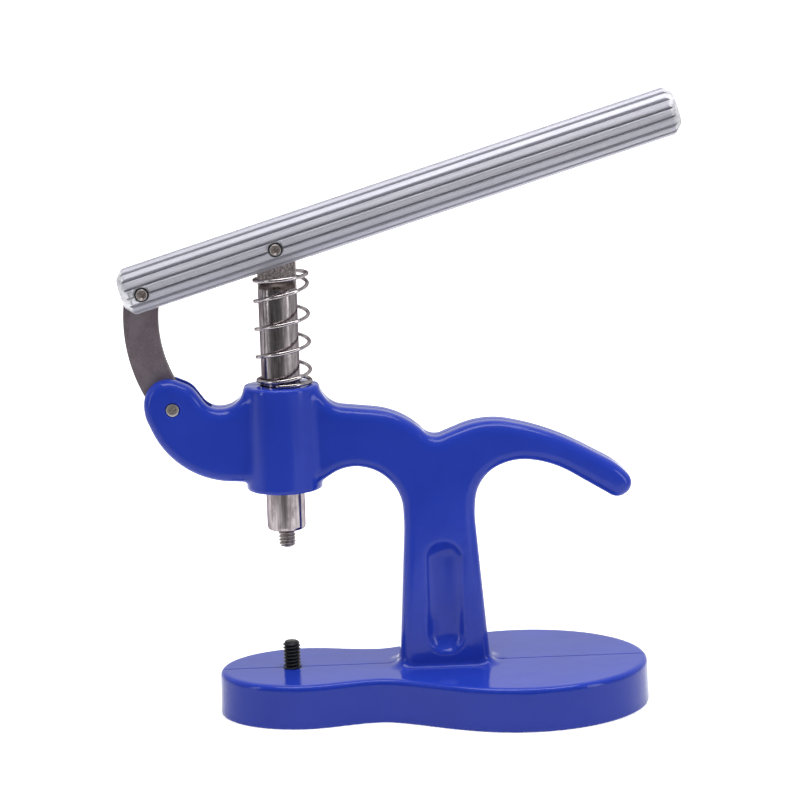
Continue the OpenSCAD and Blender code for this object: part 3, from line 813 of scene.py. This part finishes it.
def plunger():
    """Turned plunger with a flat tongue at its top, and its threaded stud as a piece of its own."""
    low, high = extent("plunger")
    bottom = low[2] + UPPER_STUD_LEN
    body = turned("polished_plunger", [
        (STUD_R - 0.5, bottom - 0.35), (PLUNGER_R - 1.3, bottom), (PLUNGER_R - 0.75, bottom + 0.12),
        (PLUNGER_R - 0.3, bottom + 0.45), (PLUNGER_R - 0.06, bottom + 0.95), (PLUNGER_R, bottom + 1.5),
        (PLUNGER_R, SHOULDER_Z - BAND), (PLUNGER_R - 0.06, SHOULDER_Z - BAND + 0.1),
        (PLUNGER_R - 0.06, SHOULDER_Z - 1.3), (PLUNGER_R - 0.15, SHOULDER_Z - 1.1),
        (PLUNGER_R - 1.1, SHOULDER_Z - 0.1), (PLUNGER_R - 1.25, SHOULDER_Z)], 128, 30)
    tongue_r, chamfer = PLUNGER_R - 0.02, 0.3
    outline = [(-tongue_r, SHOULDER_Z - 3), (tongue_r, SHOULDER_Z - 3)]
    outline += arc((0.0, PLUNGER_PIN[2] - TONGUE_DROP), tongue_r, 0, 180, 40)
    tongue = slab("tongue", outline, TONGUE_T / 2, 0.3)
    hull = turned("hull", [(PLUNGER_R, SHOULDER_Z - 4), (PLUNGER_R, high[2] + 2)], 128)
    combine(tongue, [hull], "INTERSECT")
    combine(body, [tongue], "UNION", 25)
    hole, face_y = HANDLE_PIN_R + RUN_GAP, TONGUE_T / 2
    rim = [(hole, face_y - chamfer), (hole + chamfer, face_y), (hole + chamfer, 4)]
    cut(body, across(turned("hole", [(radius, -y) for radius, y in rim[::-1]] + rim, 48), 0, PLUNGER_PIN[2]),
        sharp_deg=25)
    wear(body, plated_steel(), milled_steel(), stained_shaded_band())
    for face in body.data.polygons:
        if face.center.z > (SHOULDER_Z + 0.05) * MM:
            face.material_index = 1
        # The band below the shoulder: stain, and painted shade from the handle and spring above.
        elif face.center.z > (SHOULDER_Z - BAND) * MM:
            face.material_index = 2
    stands_for(body, "plunger", "plunger")
    stud = threaded("upper_die_thread", [(low[2], STUD_R - 0.9), (low[2] + 0.8, STUD_R),
                                         (bottom - 0.9, STUD_R), (bottom - 0.2, THREAD_ROOT),
                                         (bottom + 0.2, THREAD_ROOT)], STUD_R, THREAD_ROOT)
    wear(stud, turned_thread())
    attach(stud, "plunger")


# ---------------------------------------------------------------- return spring
TOP_COIL_LEAN = 0.06  # rise of the top coil for each millimetre across
OPEN_TURNS, COIL_GAP, WIRE_START_DEG = 3.5, 0.1, -107


def return_spring():
    """Open coils between two closed ones. The top coil leans with the handle above it."""
    low, high = extent("return_spring")
    mean_r = (high[1] - low[1]) / 2 - WIRE_R
    bottom, top = low[2] + WIRE_R, high[2] - WIRE_R
    closed = 2 * WIRE_R + COIL_GAP
    turns = OPEN_TURNS + 2
    knots = [0, 1, turns - 1, turns]
    heights = [bottom, bottom + closed, top - closed, top]
    steps, sides = 72, 14
    count = int(turns * steps)
    t = np.linspace(0, turns, count + 1)
    z = np.interp(t, knots, heights)
    window = np.hanning(steps // 3)
    smooth = np.convolve(np.pad(z, len(window) // 2, mode="edge"), window / window.sum(), mode="valid")
    z = np.clip(smooth[:len(z)], bottom, top)
    angle = math.radians(WIRE_START_DEG) + 2 * math.pi * t
    around = np.arange(sides) * 2 * math.pi / sides
    rings = []
    for a, height, wound in zip(angle, z, t):
        # The wire tapers over its last few degrees, which rounds its cut ends.
        cap = min(1.0, 0.55 + 60 * min(wound, turns - wound))
        d = mean_r + cap * WIRE_R * np.cos(around)
        lean = TOP_COIL_LEAN * np.clip(wound - turns + 2, 0, 1) * mean_r * (1 + math.cos(a))
        rings.append(np.stack([SPRING_SHIFT + d * math.cos(a), d * math.sin(a),
                               height + lean + cap * WIRE_R * np.sin(around)], axis=1))
    points, faces = shells(rings)
    coil = make_object("wire_spring", points, [f[::-1] for f in faces], 60)
    wear(coil, spring_wire())
    stands_for(coil, "return_spring", "frame")
    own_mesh(coil)


# ---------------------------------------------------------------- handle, link and pins
def fluted_section():
    """The rod's cross-section: crowned lands between V flutes, with softened edges and roots."""
    step, points = 2 * math.pi / FLUTES, []
    half_land = step / 2 * FLUTE_LAND
    soft, edge_drop, root_round = math.radians(0.7), 0.07, 0.1
    for i in range(FLUTES):
        crest, root = i * step, (i + 0.5) * step
        land = [(crest + t * (half_land - soft), 0.0) for t in (-1, -0.5, 0, 0.5, 1)]
        places = [(crest - half_land, edge_drop)] + land + [(crest + half_land, edge_drop)]
        places += [(root - soft, FLUTE_DEPTH - root_round), (root, FLUTE_DEPTH),
                   (root + soft, FLUTE_DEPTH - root_round)]
        points += [((HANDLE_R - drop) * math.cos(a), (HANDLE_R - drop) * math.sin(a)) for a, drop in places]
    return np.array(points)


SLOT_HEADROOM, SLOT_REACH = 0.35, 3.8
SEAT_WIDTH, SCUFF_WIDTH = 1.3, 0.2  # bright metal around a pin's hole and beyond a bevel


def handle():
    """Fluted rod with bevelled ends, slotted from below for the tongue and the link."""
    start = -PIN_SPACING - HANDLE_OVERHANG
    section = fluted_section()
    rings = [np.column_stack([np.full(len(section), start + u), section[:, 0],
                              section[:, 1] + HANDLE_AXIS_LIFT]) for u in (0.0, HANDLE_LEN)]
    points, faces = shells(rings)
    rod = make_object("fluted_handle", points, faces, 20)
    r, b, inset = HANDLE_R, HANDLE_BEVEL, 0.15
    profile = [(r - b - 1.0, inset), (r - b - 0.3, inset + 0.1), (r - b + 0.15, inset + 0.4),
               (r - 0.45, b - 0.05), (r - 0.15, b + 0.4), (r, b + 1.1), (r + 1, b + 1.2)]
    ends = turned("ends", profile + [(radius, HANDLE_LEN - u) for radius, u in profile[::-1]], 128)
    place(ends, Matrix.Translation(Vector((start, 0, HANDLE_AXIS_LIFT)) * MM)
          @ Matrix.Rotation(math.pi / 2, 4, "Y"))
    combine(rod, [ends], "INTERSECT", 20)
    slot_half = TONGUE_T / 2 + SLOT_GAP
    slot_top = LINK_W / 2 + SLOT_HEADROOM
    cutters = [block("slot", (start - 1, -slot_half, -20), (PLUNGER_R + SLOT_REACH, slot_half, slot_top))]
    rim, deep = HANDLE_PIN_R + 0.1, HANDLE_R - 1.4
    half_hole = [(rim, deep), (rim, deep + 0.4), (rim + 0.5, HANDLE_R - 0.4), (rim + 1.1, HANDLE_R + 0.5)]
    hole = [(radius, -y) for radius, y in half_hole[::-1]] + half_hole
    cutters += [across(turned("pin_hole", hole, 64), x, 0) for x in (0, -PIN_SPACING)]
    cut(rod, *cutters, sharp_deg=20)
    wear(rod, bare_aluminium(), scuffed_aluminium())
    for face in rod.data.polygons:
        u, _, w = face.center / MM
        seat = min(math.hypot(u, w), math.hypot(u + PIN_SPACING, w)) < rim + SEAT_WIDTH
        bevel = min(u - start, start + HANDLE_LEN - u) < HANDLE_BEVEL + SCUFF_WIDTH
        face.material_index = int(seat or bevel)
    in_handle(rod)
    stands_for(rod, "handle", "handle")


def link():
    """Curved plate with a round eye on the frame's pin and a long eye on the handle's."""
    a, b = LINK_PIVOT[[0, 2]], END_PIN[[0, 2]]
    along = (b - a) / np.linalg.norm(b - a)
    side = np.array([along[1], -along[0]])
    centre = (a + b) / 2 + side * math.sqrt(LINK_BEND_R ** 2 - np.dot(b - a, b - a) / 4)
    low_deg, high_deg = (math.degrees(math.atan2(*(p - centre)[::-1])) % 360 for p in (a, b))
    half = LINK_W / 2
    outline = arc(centre, LINK_BEND_R + half, high_deg, low_deg, 60)
    outline += arc(a, half, low_deg, low_deg + 180, 24)[1:-1]
    outline += arc(centre, LINK_BEND_R - half, low_deg, high_deg, 60)
    outline += arc(b, half, high_deg + 180, high_deg + 360, 24)[1:-1]
    plate = slab("bent_link", outline, LINK_T / 2, 0.35)
    radius = FRAME_PIN_R + RUN_GAP
    cut(plate, across(turned("eye", [(radius, -5), (radius, 5)], 48), *a), sharp_deg=20)
    across_deg = math.degrees(math.atan2(side[1], side[0]))
    radius = HANDLE_PIN_R + EYE_SLACK
    long_eye = arc(b + EYE_PLAY * side, radius, across_deg - 90, across_deg + 90, 24)
    long_eye += arc(b - EYE_PLAY * side, radius, across_deg + 90, across_deg + 270, 24)
    cut(plate, slab("long_eye", long_eye, 5, 0.3), sharp_deg=20)
    wear(plate, tumbled_steel(), sheared_edge())
    for face in plate.data.polygons:
        if abs(face.normal.y) < 0.5:
            face.material_index = 1
    stands_for(plate, "link", "link")


def pin_across(name, at, end, steel, gap_shade=None):
    """A pin along Y, alike at both ends. An end is (radius, y) pairs from the pin's side inwards."""
    profile = [(r, -z) for r, z in end[::-1]] + end
    pin = across(turned(name, profile, 64, 30), at[0], at[2])
    if gap_shade:
        wear(pin, steel, gap_shade)
        # Faces outside the rim take the dark material: painted shade in the gap around the pin.
        inner = end[3][0] * MM
        for face in pin.data.polygons:
            reach = math.hypot(face.center.x - at[0] * MM, face.center.z - at[2] * MM)
            face.material_index = int(reach > inner)
        return pin
    return wear(pin, steel)


def cupped_end(r, length):
    """A worn, set-in end: a narrow bright rim around a shallow cup."""
    return [(r, length - 1.0), (r - 0.15, length - 0.75), (r - 0.42, length - 0.5), (r - 0.5, length - 0.12),
            (r - 0.62, length), (r - 0.78, length), (r - 0.95, length - 0.3), (r * 0.42, length - 0.7),
            (0.05, length - 0.8)]


def flush_end(r, length):
    """A plain end, slightly rounded and hollowed."""
    return [(r, length - 0.3), (r - 0.06, length - 0.12), (r - 0.25, length - 0.02), (r * 0.55, length),
            (r * 0.25, length - 0.06), (0.05, length - 0.1)]


def pins():
    """The three pins: cupped ends with painted shade around them in the handle, plain ends in the lobe."""
    steel, gap_shade = pin_steel(), sheared_edge("pin_gap_shade")
    for node, at, radius, body, shape in (
            ("handle_link_pin", END_PIN, HANDLE_PIN_R, "handle", cupped_end),
            ("handle_plunger_pin", PLUNGER_PIN, HANDLE_PIN_R, "plunger", cupped_end),
            ("link_frame_pin", LINK_PIVOT, FRAME_PIN_R, "frame", flush_end)):
        half_length = extent(node)[1][1]
        pin = pin_across("cupped_" + node, at, shape(radius, half_length), steel,
                         gap_shade if shape is cupped_end else None)
        stands_for(pin, node, body)


# ---------------------------------------------------------------- stage, light and camera
def stage():
    """A wide floor at z = 0, which isn't part of the object."""
    half = 14.0
    mesh = bpy.data.meshes.new("floor")
    mesh.from_pydata([(-half, -half, 0), (half, -half, 0), (half, half, 0), (-half, half, 0)], [],
                     [(0, 1, 2, 3)])
    floor = bpy.data.objects.new("floor", mesh)
    bpy.context.scene.collection.objects.link(floor)
    mesh.materials.append(glowing_shaded_floor())


def soft_light(name, place_at, aim_at, size, watts, mirrored=True):
    """A rectangular light, which polished metal may or may not mirror."""
    data = bpy.data.lights.new(name, "AREA")
    data.shape = "RECTANGLE"
    data.size, data.size_y = size
    data.energy = watts
    lamp = bpy.data.objects.new(name, data)
    lamp.location = place_at
    lamp.rotation_euler = (Vector(aim_at) - Vector(place_at)).to_track_quat("-Z", "Y").to_euler()
    lamp.visible_glossy = mirrored
    bpy.context.scene.collection.objects.link(lamp)


def surroundings():
    """A room that is bright behind the object and dim on the camera's side."""
    world = bpy.data.worlds.new("studio")
    bpy.context.scene.world = world
    world.use_nodes = True
    tree = world.node_tree
    direction = tree.nodes.new("ShaderNodeTexCoord")
    split = tree.nodes.new("ShaderNodeSeparateXYZ")
    tree.links.new(direction.outputs["Generated"], split.inputs["Vector"])
    fade = tree.nodes.new("ShaderNodeMapRange")
    fade.interpolation_type = "SMOOTHSTEP"
    for key, value in (("From Min", -0.6), ("From Max", 0.7), ("To Min", 0.12), ("To Max", 0.85)):
        fade.inputs[key].default_value = value
    tree.links.new(split.outputs["Y"], fade.inputs["Value"])
    background = tree.nodes["Background"]
    background.inputs["Color"].default_value = (1, 1, 1, 1)
    tree.links.new(fade.outputs["Result"], background.inputs["Strength"])


def camera():
    """Long lens, a little above the object and rolled by under two degrees."""
    azimuth, elevation, roll = math.radians(-1.5), math.radians(10.8), math.radians(1.83)
    target, distance = Vector((42.6, 0, 114.15)) * MM, 963 * MM
    data = bpy.data.cameras.new("camera")
    data.sensor_width = 36
    data.lens = 120.15
    cam = bpy.data.objects.new("camera", data)
    back = Vector((math.sin(azimuth) * math.cos(elevation),
                   -math.cos(azimuth) * math.cos(elevation), math.sin(elevation)))
    turn = Euler((math.pi / 2 - elevation, 0, azimuth)).to_matrix() @ Matrix.Rotation(-roll, 3, "Z")
    cam.matrix_world = Matrix.Translation(target + back * distance) @ turn.to_4x4()
    bpy.context.scene.collection.objects.link(cam)
    bpy.context.scene.camera = cam


BLUE = blue_paint()
camera()
stage()
surroundings()
soft_light("overhead", (0.08, -0.10, 0.95), (0.05, 0, 0), (0.9, 0.5), 8)
soft_light("left_side", (-0.90, -0.45, 0.30), (0.03, 0, 0.1), (0.16, 0.8), 1.5)
soft_light("right_side", (0.90, -0.50, 0.25), (0.03, 0, 0.1), (0.24, 0.8), 2.4)
soft_light("high_front", (0.05, -0.70, 1.10), (0.05, 0, 0.10), (1.0, 0.5), 5.2, mirrored=False)
bpy.context.scene.view_settings.view_transform = "Standard"
frame_casting()
lower_die_screw()
plunger()
return_spring()
handle()
link()
pins()
